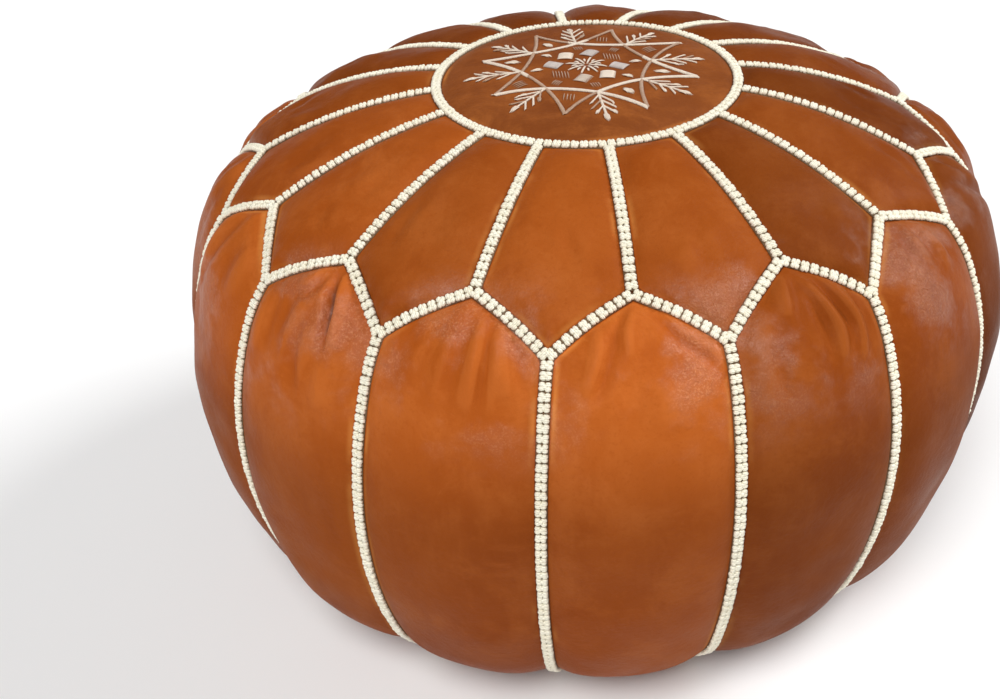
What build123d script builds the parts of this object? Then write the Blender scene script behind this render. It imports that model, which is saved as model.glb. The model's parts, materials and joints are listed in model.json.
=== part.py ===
from build123d import *

import os
from math import ceil, cos, radians, sin

# A round, stuffed leather pouf: sixteen top petals and sixteen side panels round an embroidered
# medallion, braided thread over every outer seam, and a zipped base that the stuffing goes in by.
#
# Millimetres, +Z up. The origin is the centre of the base, on the surface that the pouf stands on.
# The zip runs along X, in a shallow tray in the base that keeps its slider off the floor.

# The outer shape, as arcs that meet in line: how far the surface's normal leans from level where
# each arc ends, and the arc's radius.
EQUATOR_RADIUS = 270.0
EQUATOR_HEIGHT = 157.0
ARCS_ABOVE_EQUATOR = [(22.0, 217.0), (60.0, 91.0), (87.5, 290.0)]
ARC_BELOW_EQUATOR = (-21.0, 285.0)

# The leather.
PANEL_COUNT = 16
LEATHER = 2.0
MEDALLION_RADIUS = 99.0
APEX_RADIUS = 209.0
TIP_RADIUS = 236.5
BASE_RADIUS = 165.0

# The braid over the seams, and the embroidery on the medallion.
BRAID_WIDTH = 7.0
BRAID_HEIGHT = 3.0
THREAD_HEIGHT = 1.0
MOTIF_RADIUS = 71.0
MOTIF_TURN = 25.5
MOTIF_FOLDS = 8
STAR_LINE = 2.4
STAR_WAIST = 0.53
FROND_START = 44.0
FROND_END = 79.0
FROND_LEAF = 11.0
FROND_LEAF_SLANT = 40.0
FROND_LEAF_PLACES = (0.15, 0.45)
FROND_LINE = 1.6
LOZENGE_RADIUS = 21.0
LOZENGE_LEAD = 8.0
LOZENGE_SLANT = 30.0
LOZENGE_SIZE = (11.0, 9.0)
LOZENGE_PLACES = (1, 2, 3, 5, 6, 7)
COMB_PLACES = (0, 4)
COMB_BARS = 6
COMB_PITCH = 1.9
COMB_BAR = (9.0, 0.8)
SUNBURST_RADIUS = 13.0
SUNBURST_LINE = 1.2

# What is inside the cover.
SKIN_GAP = 0.3
BAG_CLOTH = 0.8

# The tray in the base, and the zip in it.
TRAY_HALF_LENGTH = 152.0
TRAY_HALF_WIDTH = 24.0
TRAY_DEPTH = 5.0
TRAY_SLOPE = 45.0
SLOT_HALF_LENGTH = 134.0
SLOT_HALF_WIDTH = 7.5
CHAIN_HALF_LENGTH = 118.0
TAPE_HALF_LENGTH = 138.0
TAPE_WIDTH = 13.0
TAPE_THICKNESS = 0.6
TOOTH_PITCH = 2.8
TOOTH_LENGTH = 1.2
TOOTH_HEIGHT = 2.6
TOOTH_ROOT = 2.6
TOOTH_REACH = 1.0
STITCH_ROW = 11.5
STITCH_PITCH = 4.5
STITCH_SIZE = (3.0, 0.6, 0.5)
STOP_LENGTH = 2.0
STOP_GAP = 1.0
TOP_STOP_INNER_EDGE = 0.4

# The slider and its pull tab.
SLIDER_LENGTH = 16.0
SLIDER_HALF_WIDTH = 6.4
SLIDER_PLATE = 1.3
SLIDER_CAVITY = 4.0
SLIDER_FLANGE = 1.2
SLIDER_TAPE_SLOT = 1.8
SLIDER_POST = (3.0, 2.4)
SLIDER_POST_SETBACK = 1.0
SLIDER_PAST_TEETH = 2.0
SLIDER_CORNER = 2.5
LUG_THICKNESS = 1.2
PIN_RADIUS = 0.8
PIN_CLEARANCE = 0.06
EYE_RADIUS = 1.6
EYE_HALF_WIDTH = 2.0
EYE_SIDE_GAP = 0.2
PULL_LENGTH = 26.0
PULL_HALF_WIDTH = 4.5
PULL_NECK = 8.0
PULL_HOLE_LENGTH = 9.0
PULL_HOLE_WIDTH = 4.0
PULL_HOLE_EDGE = 2.5
PULL_CORNER = 2.7
PULL_OVERLAP = 1.0

# Worked out from the sizes above.
SECTOR = 360.0 / PANEL_COUNT
FAR = EQUATOR_RADIUS * 1.5
TAPE_BOTTOM = TRAY_DEPTH + LEATHER
CHAIN_MIDDLE = TAPE_BOTTOM + TAPE_THICKNESS / 2
PLATE_GAP = SLIDER_CAVITY / 2
SLIDER_BOTTOM = CHAIN_MIDDLE - PLATE_GAP - SLIDER_PLATE
SLIDER_TOP = CHAIN_MIDDLE + PLATE_GAP + SLIDER_PLATE
PIN_HEIGHT = SLIDER_BOTTOM - EYE_RADIUS - EYE_SIDE_GAP
SLIDER_CLOSED_X = -(CHAIN_HALF_LENGTH + SLIDER_PAST_TEETH)


def ring_point(radius, degrees):
    """A point in plan, at that radius and angle from +X."""
    return (radius * cos(radians(degrees)), radius * sin(radians(degrees)))


def outline_arcs():
    """The outer outline in the XZ plane, from the floor to the top: (centre, radius, from, to)."""
    arcs = []
    lean, radius = ARC_BELOW_EQUATOR
    centre = (EQUATOR_RADIUS - radius, EQUATOR_HEIGHT)
    arcs.append((centre, radius, lean, 0.0))
    end = (centre[0] + radius * cos(radians(lean)), centre[1] + radius * sin(radians(lean)))
    haunch = end[1] / (1 + sin(radians(lean)))
    arcs.insert(0, ((end[0] - haunch * cos(radians(lean)), haunch), haunch, -90.0, lean))
    at, begin = (EQUATOR_RADIUS, EQUATOR_HEIGHT), 0.0
    for lean, radius in ARCS_ABOVE_EQUATOR:
        centre = (at[0] - radius * cos(radians(begin)), at[1] - radius * sin(radians(begin)))
        arcs.append((centre, radius, begin, lean))
        at = (centre[0] + radius * cos(radians(lean)), centre[1] + radius * sin(radians(lean)))
        begin = lean
    crown = at[0] / cos(radians(begin))
    arcs.append(((0.0, at[1] - crown * sin(radians(begin))), crown, begin, 90.0))
    return arcs


def body_of_revolution(proud):
    """Everything inside the outer surface moved out by proud, or in where that is negative."""
    edges = []
    for (x, z), radius, begin, end in outline_arcs():
        grown = radius + proud
        corners = [
            (x + grown * cos(radians(a)), 0, z + grown * sin(radians(a)))
            for a in (begin, (begin + end) / 2, end)
        ]
        if end == 90.0:
            corners[2] = (0, 0, corners[2][2])
        edges.append(Edge.make_three_point_arc(*corners))
    bottom, top = edges[0] @ 0, edges[-1] @ 1
    edges.append(Edge.make_line(top, (0, 0, bottom.Z)))
    edges.append(Edge.make_line((0, 0, bottom.Z), bottom))
    return revolve(Face(Wire(edges)), Axis.Z)


def skin(inner, outer):
    """The layer between two offsets of the outer surface."""
    return body_of_revolution(outer) - body_of_revolution(inner)


def prism(outline, low, high):
    """A plan outline, a list of points or a sketch, as a solid from one height to another."""
    face = make_face(Polyline(*outline, close=True)) if isinstance(outline, list) else outline
    return extrude(Pos(0, 0, low) * face, high - low)


def strip(begin, end, width, degrees=0.0):
    """A rectangle in plan, along a radius from begin to end, turned to that angle."""
    bar = Pos((begin + end) / 2, 0) * Rectangle(end - begin, width)
    return Rot(0, 0, degrees) * bar


def around(shape, count, first=0.0):
    """Copies of a shape, evenly turned about Z."""
    return [Rot(0, 0, first + i * 360.0 / count) * shape for i in range(count)]


def save(name, *shapes):
    """Writes one node. Its solids stay separate."""
    solids = [solid for shape in shapes for solid in shape.solids()]
    shape = solids[0] if len(solids) == 1 else Compound(children=solids)
    export_step(shape, f"parts/{name}.step")


def seam_star(grow=0.0):
    """The chevron seam in plan: a star with its inner corners where the radial seams end."""
    corners = []
    for i in range(PANEL_COUNT):
        corners.append(ring_point(APEX_RADIUS, i * SECTOR))
        corners.append(ring_point(TIP_RADIUS, (i + 0.5) * SECTOR))
    face = make_face(Polyline(*corners, close=True))
    return offset(face, amount=grow, kind=Kind.INTERSECTION) if grow else face


def make_leather_top(leather):
    """The medallion and the petals round it."""
    medallion = prism(Circle(MEDALLION_RADIUS), EQUATOR_HEIGHT, FAR)
    save("top_medallion", leather & medallion)
    kite = [
        (0, 0),
        ring_point(APEX_RADIUS, 0),
        ring_point(TIP_RADIUS, SECTOR / 2),
        ring_point(APEX_RADIUS, SECTOR),
    ]
    petal = leather & prism(kite, EQUATOR_HEIGHT, FAR) - medallion
    for i, turned in enumerate(around(petal, PANEL_COUNT)):
        save(f"top_petal_{i + 1:02d}", turned)


def make_leather_sides(leather):
    """The side panels, from the chevron seam down to the base."""
    wedge = prism(
        [(0, 0), ring_point(FAR, -SECTOR / 2), ring_point(FAR, SECTOR / 2)], -1, FAR
    )
    top = prism(seam_star(), EQUATOR_HEIGHT, FAR)
    base = prism(Circle(BASE_RADIUS), -1, EQUATOR_HEIGHT)
    panel = leather & wedge - top - base
    for i, turned in enumerate(around(panel, PANEL_COUNT)):
        save(f"side_panel_{i + 1:02d}", turned)


def make_braids():
    """The thread braid that lies over the seams."""
    half = BRAID_WIDTH / 2
    layer = skin(0, BRAID_HEIGHT)
    ring = Circle(MEDALLION_RADIUS + half) - Circle(MEDALLION_RADIUS - half)
    save("medallion_ring_braid", layer & prism(ring, EQUATOR_HEIGHT, FAR))
    inside = prism(seam_star(-half), EQUATOR_HEIGHT, FAR)
    outside = prism(seam_star(half), EQUATOR_HEIGHT, FAR)
    save("chevron_braid", layer & outside - inside)
    spoke = strip(MEDALLION_RADIUS + half, APEX_RADIUS, BRAID_WIDTH)
    radial = layer & prism(spoke, EQUATOR_HEIGHT, FAR) & inside
    save("radial_braids", *around(radial, PANEL_COUNT))
    drop = strip(BASE_RADIUS, FAR, BRAID_WIDTH, SECTOR / 2)
    side = layer & prism(drop, 0, FAR) - outside
    save("side_braids", *around(side, PANEL_COUNT))


def hollow_square(degrees):
    """One thread outline of the star: a square in plan whose sides bow in."""
    sides = []
    for i in range(4):
        begin = ring_point(MOTIF_RADIUS, degrees + 90 * i)
        end = ring_point(MOTIF_RADIUS, degrees + 90 * (i + 1))
        waist = ring_point(MOTIF_RADIUS * STAR_WAIST, degrees + 90 * i + 45)
        sides.append(ThreePointArc(begin, waist, end))
    outer = make_face(Wire(sides))
    return outer - offset(outer, amount=-STAR_LINE, kind=Kind.INTERSECTION)


def frond():
    """A stem along +X with two pairs of slanted leaves."""
    shape = strip(FROND_START, FROND_END, FROND_LINE)
    for share in FROND_LEAF_PLACES:
        root = FROND_START + share * (FROND_END - FROND_START)
        for side in (-1, 1):
            leaf = Pos(FROND_LEAF / 2, 0) * Rectangle(FROND_LEAF, FROND_LINE)
            shape += Pos(root, 0) * Rot(0, 0, side * FROND_LEAF_SLANT) * leaf
    return shape


def lozenge():
    """A filled lozenge on +X."""
    return Pos(LOZENGE_RADIUS, 0) * Rot(0, 0, LOZENGE_SLANT) * Rectangle(*LOZENGE_SIZE)


def comb():
    """Thin bars side by side, on +X."""
    middle = (COMB_BARS - 1) / 2
    bars = [Pos(0, (i - middle) * COMB_PITCH) * Rectangle(*COMB_BAR) for i in range(COMB_BARS)]
    return Pos(LOZENGE_RADIUS, 0) * Sketch(children=bars)


def make_embroidery():
    """The thread motif on the medallion, each part of it a raised layer on the leather."""
    layer = skin(0, THREAD_HEIGHT) & prism(Circle(MEDALLION_RADIUS), EQUATOR_HEIGHT, FAR)
    step = 360.0 / MOTIF_FOLDS
    squares = hollow_square(MOTIF_TURN) + hollow_square(MOTIF_TURN + step)
    star = prism(squares, EQUATOR_HEIGHT, FAR)
    save("embroidered_star", layer & star)
    branch = layer & prism(frond(), EQUATOR_HEIGHT, FAR)
    branches = around(branch, MOTIF_FOLDS, MOTIF_TURN - step / 2)
    save("embroidered_fronds", *[b - star for b in branches])
    for name, shape, places in (
        ("embroidered_lozenges", lozenge(), LOZENGE_PLACES),
        ("embroidered_combs", comb(), COMB_PLACES),
    ):
        raised = layer & prism(shape, EQUATOR_HEIGHT, FAR)
        save(name, *[Rot(0, 0, MOTIF_TURN + LOZENGE_LEAD + i * step) * raised for i in places])
    ray = Rectangle(2 * SUNBURST_RADIUS, SUNBURST_LINE)
    rays = ray
    for i in range(1, MOTIF_FOLDS // 2):
        rays += Rot(0, 0, i * step) * ray
    save("embroidered_sunburst", layer & prism(rays, EQUATOR_HEIGHT, FAR))


def tray(grow, depth):
    """The tray's tapered shape, from the floor up, wider all round by grow."""
    mouth = Rectangle(2 * (TRAY_HALF_LENGTH + grow), 2 * (TRAY_HALF_WIDTH + grow))
    return extrude(mouth, depth, taper=TRAY_SLOPE)


def make_base():
    """The two halves of the base, which dip into a tray where the zip is sewn in."""
    wall = LEATHER / sin(radians(TRAY_SLOPE))
    disc = prism(Circle(BASE_RADIUS), 0, LEATHER)
    slot = prism(Rectangle(2 * SLOT_HALF_LENGTH, 2 * SLOT_HALF_WIDTH), 0, FAR)
    base = disc + tray(wall, TRAY_DEPTH + LEATHER) - tray(0, TRAY_DEPTH) - slot
    half = Pos(0, FAR / 2) * Rectangle(2 * FAR, FAR)
    save("base_panel_back", base & prism(half, -1, FAR))
    save("base_panel_front", base & prism(Rot(0, 0, 180) * half, -1, FAR))


def make_stuffing():
    """The cotton bag of stuffing that fills the cover, clear of the zip."""
    outer = SKIN_GAP + LEATHER
    inner = outer + BAG_CLOTH + SKIN_GAP
    wall = LEATHER / sin(radians(TRAY_SLOPE))
    room = SLIDER_TOP + SKIN_GAP
    long, wide = TRAY_HALF_LENGTH + wall + SKIN_GAP, TRAY_HALF_WIDTH + wall + SKIN_GAP
    above_zip = prism(Rectangle(2 * long, 2 * wide), -1, room)
    cloth = BAG_CLOTH
    bag_roof = prism(Rectangle(2 * (long + cloth), 2 * (wide + cloth)), -1, room + cloth)
    grow = cloth + SKIN_GAP
    core_roof = prism(Rectangle(2 * (long + grow), 2 * (wide + grow)), -1, room + grow)
    lining = body_of_revolution(-outer - cloth) - bag_roof
    save("stuffing_bag", body_of_revolution(-outer) - above_zip - lining)
    save("stuffing", body_of_revolution(-inner) - core_roof)


def block(x, y, z):
    """A box from (low, high) pairs."""
    size = (x[1] - x[0], y[1] - y[0], z[1] - z[0])
    return Pos((x[0] + x[1]) / 2, (y[0] + y[1]) / 2, (z[0] + z[1]) / 2) * Box(*size)


def make_zip_chain():
    """The tapes, the two rows of teeth, the end stops and the thread that sews the zip in."""
    tape_z = (TAPE_BOTTOM, TAPE_BOTTOM + TAPE_THICKNESS)
    tooth_z = (CHAIN_MIDDLE - TOOTH_HEIGHT / 2, CHAIN_MIDDLE + TOOTH_HEIGHT / 2)
    per_row = int(2 * CHAIN_HALF_LENGTH / TOOTH_PITCH)
    stop_x = SLIDER_CLOSED_X - SLIDER_LENGTH / 2 - STOP_GAP
    stitches = []
    for name, side, shift in (("front", -1, 0.0), ("back", 1, TOOTH_PITCH / 2)):
        across = sorted((side * TOOTH_ROOT, side * (TOOTH_ROOT + TAPE_WIDTH)))
        save(f"zip_tape_{name}", block((-TAPE_HALF_LENGTH, TAPE_HALF_LENGTH), across, tape_z))
        across = sorted((-side * TOOTH_REACH, side * TOOTH_ROOT))
        begin = -CHAIN_HALF_LENGTH + shift
        starts = [begin + i * TOOTH_PITCH for i in range(per_row)]
        teeth = [block((x, x + TOOTH_LENGTH), across, tooth_z) for x in starts]
        save(f"zip_teeth_{name}", *teeth)
        length, width, height = STITCH_SIZE
        across = sorted((side * STITCH_ROW, side * (STITCH_ROW + width)))
        for i in range(ceil(2 * SLOT_HALF_LENGTH / STITCH_PITCH)):
            x = -SLOT_HALF_LENGTH + i * STITCH_PITCH
            stitches.append(block((x, x + length), across, (TRAY_DEPTH - height, TRAY_DEPTH)))
    save("zip_seam_stitches", *stitches)
    pair = []
    for side in (-1, 1):
        across = sorted((side * TOP_STOP_INNER_EDGE, side * TOOTH_ROOT))
        pair.append(block((stop_x - STOP_LENGTH, stop_x), across, tooth_z))
    save("zip_top_stops", *pair)
    end = CHAIN_HALF_LENGTH + STOP_GAP
    stop = block((end, end + STOP_LENGTH), (-TOOTH_ROOT, TOOTH_ROOT), tooth_z)
    save("zip_bottom_stop", stop)


def make_slider():
    """The slider: two plates with flanges, joined by a post ahead of the closed teeth."""
    plan = Rectangle(SLIDER_LENGTH, 2 * SLIDER_HALF_WIDTH)
    plan = fillet(plan.vertices(), SLIDER_CORNER)
    body = prism(plan, SLIDER_BOTTOM, SLIDER_TOP)
    cavity = SLIDER_HALF_WIDTH - SLIDER_FLANGE
    low, high = CHAIN_MIDDLE - PLATE_GAP, CHAIN_MIDDLE + PLATE_GAP
    through = (-SLIDER_LENGTH, SLIDER_LENGTH)
    body -= block(through, (-cavity, cavity), (low, high))
    slot = SLIDER_TAPE_SLOT / 2
    body -= block(through, through, (CHAIN_MIDDLE - slot, CHAIN_MIDDLE + slot))
    nose = -SLIDER_LENGTH / 2 + SLIDER_POST_SETBACK
    post_long, post_wide = SLIDER_POST
    body += block((nose, nose + post_long), (-post_wide / 2, post_wide / 2), (low, high))
    inside = EYE_HALF_WIDTH + EYE_SIDE_GAP
    for side in (-1, 1):
        across = sorted((side * inside, side * (inside + LUG_THICKNESS)))
        foot = block((-EYE_RADIUS, EYE_RADIUS), across, (PIN_HEIGHT, SLIDER_BOTTOM))
        middle = (across[0] + across[1]) / 2
        knuckle = Pos(0, middle, PIN_HEIGHT) * Rot(90, 0, 0) * Cylinder(EYE_RADIUS, LUG_THICKNESS)
        body += foot + knuckle
    pin_length = 2 * (inside + LUG_THICKNESS)
    pin = Pos(0, 0, PIN_HEIGHT) * Rot(90, 0, 0) * Cylinder(PIN_RADIUS, pin_length)
    place = Pos(SLIDER_CLOSED_X, 0, 0)
    save("zip_slider", place * (body - pin))
    save("zip_pull_pin", place * pin)


def make_pull():
    """The pull tab, folded flat along the closed teeth."""
    barrel = Rot(90, 0, 0) * Cylinder(EYE_RADIUS, 2 * EYE_HALF_WIDTH)
    bore = Rot(90, 0, 0) * Cylinder(PIN_RADIUS + PIN_CLEARANCE, 4 * EYE_HALF_WIDTH)
    neck = Pos(PULL_NECK / 2, 0) * Rectangle(PULL_NECK, 2 * EYE_HALF_WIDTH)
    tab_length = PULL_LENGTH - PULL_NECK + PULL_OVERLAP
    tab = Rectangle(tab_length, 2 * PULL_HALF_WIDTH)
    tab = fillet(tab.vertices(), PULL_CORNER)
    outline = neck + Pos(PULL_LENGTH - tab_length / 2, 0) * tab
    hole = SlotOverall(PULL_HOLE_LENGTH, PULL_HOLE_WIDTH)
    outline -= Pos(PULL_LENGTH - PULL_HOLE_LENGTH / 2 - PULL_HOLE_EDGE, 0) * hole
    plate = prism(outline, -PIN_RADIUS, PIN_RADIUS)
    pull = barrel + plate - bore
    save("zip_pull_tab", Pos(SLIDER_CLOSED_X, 0, PIN_HEIGHT) * pull)


def main():
    os.makedirs("parts", exist_ok=True)
    leather = skin(-LEATHER, 0)
    make_leather_top(leather)
    make_leather_sides(leather)
    make_braids()
    make_embroidery()
    make_base()
    make_stuffing()
    make_zip_chain()
    make_slider()
    make_pull()


main()
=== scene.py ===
"""Looks for the round leather pouf: puffed and creased panels, knotted braids and satin embroidery.

Everything is in metres, in the CAD model's frame. The cover is one surface, given by an angle about Z
and a length measured along the outline from the top's centre, and every piece is laid out on it.
"""

import json
from math import cos, pi, radians, sin, tau

import bpy
import numpy as np
from mathutils import Matrix, Vector


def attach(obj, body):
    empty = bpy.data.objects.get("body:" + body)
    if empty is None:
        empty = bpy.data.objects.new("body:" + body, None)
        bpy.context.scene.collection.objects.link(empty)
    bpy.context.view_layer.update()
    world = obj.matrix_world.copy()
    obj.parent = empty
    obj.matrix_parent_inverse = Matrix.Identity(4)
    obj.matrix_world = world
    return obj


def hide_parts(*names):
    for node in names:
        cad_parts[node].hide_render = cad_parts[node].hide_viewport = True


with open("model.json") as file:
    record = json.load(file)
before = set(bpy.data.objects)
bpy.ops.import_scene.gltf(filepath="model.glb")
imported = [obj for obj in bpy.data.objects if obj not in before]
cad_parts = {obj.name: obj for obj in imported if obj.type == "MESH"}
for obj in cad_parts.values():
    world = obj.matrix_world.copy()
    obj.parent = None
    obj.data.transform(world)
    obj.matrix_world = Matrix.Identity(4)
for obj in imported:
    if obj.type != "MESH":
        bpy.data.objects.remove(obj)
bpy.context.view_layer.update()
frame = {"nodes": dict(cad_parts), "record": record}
record = frame["record"]
MM = 0.001

# The outline, as in the CAD model: arcs that meet in line.
EQUATOR_RADIUS = 0.270
EQUATOR_HEIGHT = 0.157
ARCS_ABOVE = [(22.0, 0.217), (60.0, 0.091), (87.5, 0.290)]
LEAN_BELOW, RADIUS_BELOW = -21.0, 0.285
PANELS = 16
SECTOR = tau / PANELS
RING_RADIUS = 0.099
APEX_RADIUS = 0.209
TIP_RADIUS = 0.2365
BASE_RADIUS = 0.165

# How the stuffed cover differs from the even CAD shape: it leans, its top tilts and its sides twist. Its
# medallion is drawn in to a slight oval, and the petals' seams reach it askew.
LEAN = (0.039, -0.0325)
TILT = (-0.032, 0.0145)
TOP_TURN = radians(2.0)
SIDE_TWIST = (radians(-0.6), radians(-1.6))
RING_TUCK = 1.0 * MM
RING_OVAL = 2.5 * MM
RING_SKEW = radians(1.2)
# Corners of the chevron that sit off their even places: number from +X on, mm outward, degrees round.
APEX_MOVES = {9: (0, -0.5), 10: (0, 0.5), 13: (-2, 0.5), 14: (1.5, -0.5)}
TIP_MOVES = {13: (2, -0.5)}

# The medallion's dome, the grooves that the seams lie in, and how high, how soon and how round the
# leather puffs between them.
DOME = 2 * MM
VALLEY = -4.0 * MM
GROOVE = 3.4 * MM
SIDE_PUFF, SIDE_REACH, SIDE_CROWN = 3.6 * MM, 7 * MM, 3.0 * MM
PETAL_PUFF, PETAL_REACH, PETAL_CROWN = 3.0 * MM, 6 * MM, 2.0 * MM
FOLD_DEPTH = 1.5
LEATHER = 1.8 * MM
# The height below which puffs and grooves fade out, and that at which the side braids end.
FLOOR_FADE = 0.035
SIDE_BRAID_END = 3.2 * MM

# How dark each piece is, beside the lightest: partly its hide's own tone and partly painted shade,
# darker for the pieces at the back and right that face away from the lights.
PETAL_TONES_AND_SHADES = (0.45, 0.4, 0.35, 0.4, 0.35, 0.4, 0.45, 0.55, 0.7, 0.75, 0.65, 0.75, 0.7, 0.45, 0.55, 0.35)
SIDE_TONES_AND_SHADES = (0.5, 0.45, 0.7, 0.65, 0.75, 0.65, 0.7, 0.75, 0.75, 0.9, 0.95, 0.95, 1, 0.65, 0.65, 0.4)

# How finely the cover is divided.
PANEL_COLUMNS = 48
PETAL_ROWS = 56
SIDE_ROWS = 150
COLUMNS = PANELS * PANEL_COLUMNS


# ---------------------------------------------------------------- the surface

def outline():
    """The outline from the top's centre to the base seam: radius, height and outward normal."""
    arcs = []
    at, begin = (EQUATOR_RADIUS, EQUATOR_HEIGHT), 0.0
    for lean, radius in ARCS_ABOVE:
        centre = (at[0] - radius * cos(radians(begin)), at[1] - radius * sin(radians(begin)))
        arcs.append((centre, radius, lean, begin))
        at = (centre[0] + radius * cos(radians(lean)), centre[1] + radius * sin(radians(lean)))
        begin = lean
    crown = at[0] / cos(radians(begin))
    arcs.append(((0.0, at[1] - crown * sin(radians(begin))), crown, 90.0, begin))
    arcs.reverse()
    side = (EQUATOR_RADIUS - RADIUS_BELOW, EQUATOR_HEIGHT)
    arcs.append((side, RADIUS_BELOW, 0.0, LEAN_BELOW))
    low = radians(LEAN_BELOW)
    end = (side[0] + RADIUS_BELOW * cos(low), side[1] + RADIUS_BELOW * sin(low))
    haunch = end[1] / (1 + sin(low))
    arcs.append(((end[0] - haunch * cos(low), haunch), haunch, LEAN_BELOW, -90.0))
    rows = []
    for centre, radius, first, last in arcs:
        lean = np.radians(np.linspace(first, last, 80))
        c, s = np.cos(lean), np.sin(lean)
        rows.append(np.stack([centre[0] + radius * c, centre[1] + radius * s, c, s], 1))
    rows.append(np.array([[BASE_RADIUS, 0.0, 0.0, -1.0]]))
    return np.concatenate(rows)


OUTLINE = outline()
STEPS = np.hypot(*np.diff(OUTLINE[:, :2], axis=0).T)
LENGTHS = np.concatenate([[0], np.cumsum(STEPS)])
TOP_HALF = OUTLINE[:, 3] >= 0
BASE_LENGTH = LENGTHS[-1]


def length_at(radius):
    """The length along the outline at which the top half has this radius."""
    return np.interp(radius, OUTLINE[TOP_HALF, 0], LENGTHS[TOP_HALF])


def smooth(x):
    """From 0 to 1, with level ends."""
    x = np.clip(x, 0, 1)
    return x * x * (3 - 2 * x)


def settle(points):
    """Leans and tilts points as the stuffed pouf does."""
    x, y, z = points[..., 0], points[..., 1], points[..., 2]
    top = np.clip((z - EQUATOR_HEIGHT) / (EQUATOR_RADIUS / 2), 0, 1)
    tilt = top * (TILT[0] * x + TILT[1] * y)
    return np.stack([x + LEAN[0] * z, y + LEAN[1] * z, np.maximum(z + tilt, 0)], -1)


def skin(angle, length, out):
    """Points on the cover, moved outward by out."""
    r, z, nr, nz = (np.interp(length, LENGTHS, OUTLINE[:, i]) for i in range(4))
    ring, apex, tips = (length_at(radius) for radius in (RING_RADIUS, APEX_RADIUS, TIP_RADIUS))
    down = np.clip((length - tips) / (BASE_LENGTH - tips - 20 * MM), 0, 1)
    turned = angle + SIDE_TWIST[0] * 4 * down * (1 - down) + SIDE_TWIST[1] * down**2
    turned = turned + TOP_TURN * np.clip(1 - (length - ring) / (apex - ring), 0, 1)
    near_ring = np.minimum((apex - length) / (apex - ring), (length - 0.8 * ring) / (0.2 * ring))
    turned = turned + RING_SKEW * np.sin(angle) * np.clip(near_ring, 0, 1)
    grown = r + out * nr
    return settle(np.stack([grown * np.cos(turned), grown * np.sin(turned), z + out * nz], -1))


def ring_radius(angle):
    """The medallion's radius at an angle."""
    return RING_RADIUS - RING_TUCK - RING_OVAL * np.cos(2 * angle)


def radius_at(length):
    """The outline's radius at a length along it."""
    return np.interp(length, LENGTHS, OUTLINE[:, 0])


def unit(vectors):
    """Vectors made one long."""
    return vectors / np.linalg.norm(vectors, axis=-1, keepdims=True)


def lumps(points, wavelength, seed):
    """A smooth random field, about -1 to 1."""
    rng = np.random.default_rng(seed)
    total = np.zeros(points.shape[:-1])
    for _ in range(8):
        direction = unit(rng.normal(size=3)) * tau / (wavelength * rng.uniform(0.7, 1.5))
        total += np.sin(points @ direction + rng.uniform(0, tau))
    return total / 4


def swell(distance, reach):
    """How far a puff has risen at a distance from its seam."""
    return 1 - np.exp(-np.maximum(distance - GROOVE, 0) / reach)


# ---------------------------------------------------------------- the cover's grid

class Cover:
    """The seams' places, and the grids of points between them."""

    def __init__(self):
        half = PANEL_COLUMNS // 2
        plan = []
        for k in range(PANELS):
            here, peak, there = self.apex(k), self.tip(k), self.apex(k + 1)
            share = np.linspace(0, 1, half, endpoint=False)[:, None]
            plan.append(here + (peak - here) * share)
            plan.append(peak + (there - peak) * share)
        plan = np.concatenate(plan)
        self.angle = np.unwrap(np.arctan2(plan[:, 1], plan[:, 0]))
        self.chevron = length_at(np.hypot(plan[:, 0], plan[:, 1]))
        self.ring = length_at(ring_radius(self.angle))

    def apex(self, k):
        """Where a radial seam meets the chevron, in plan."""
        k = k % PANELS
        outward, turn = APEX_MOVES.get(k, (0, 0))
        return self.corner(APEX_RADIUS + outward * MM, k * SECTOR + radians(turn))

    def tip(self, k):
        """Where a seam between side panels meets the chevron, in plan."""
        outward, turn = TIP_MOVES.get(k, (0, 0))
        return self.corner(TIP_RADIUS + outward * MM, (k + 0.5) * SECTOR + radians(turn))

    @staticmethod
    def corner(radius, angle):
        return np.array([radius * cos(angle), radius * sin(angle)])

    def around(self, columns):
        """Angle, chevron length and ring length at columns, which may pass either end."""
        turns, wrapped = np.divmod(columns, COLUMNS)
        return self.angle[wrapped] + tau * turns, self.chevron[wrapped], self.ring[wrapped]


cover = Cover()
CHEVRON_SLOPE = 0.81


def smooth_path(points):
    """A smooth curve through a few (x, y) points."""
    per_run = 8
    points = np.array(points, float)
    if len(points) < 3:
        return np.linspace(points[0], points[-1], per_run + 1)
    padded = np.concatenate([[2 * points[0] - points[1]], points, [2 * points[-1] - points[-2]]])
    curve = []
    for a, b, c, d in zip(padded[:-3], padded[1:-2], padded[2:-1], padded[3:]):
        for t in np.arange(per_run) / per_run:
            bend = (2 * a - 5 * b + 4 * c - d) * t**2 + (3 * b - a - 3 * c + d) * t**3
            curve.append((2 * b + (c - a) * t + bend) / 2)
    return np.array(curve + [points[-1]])


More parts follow.
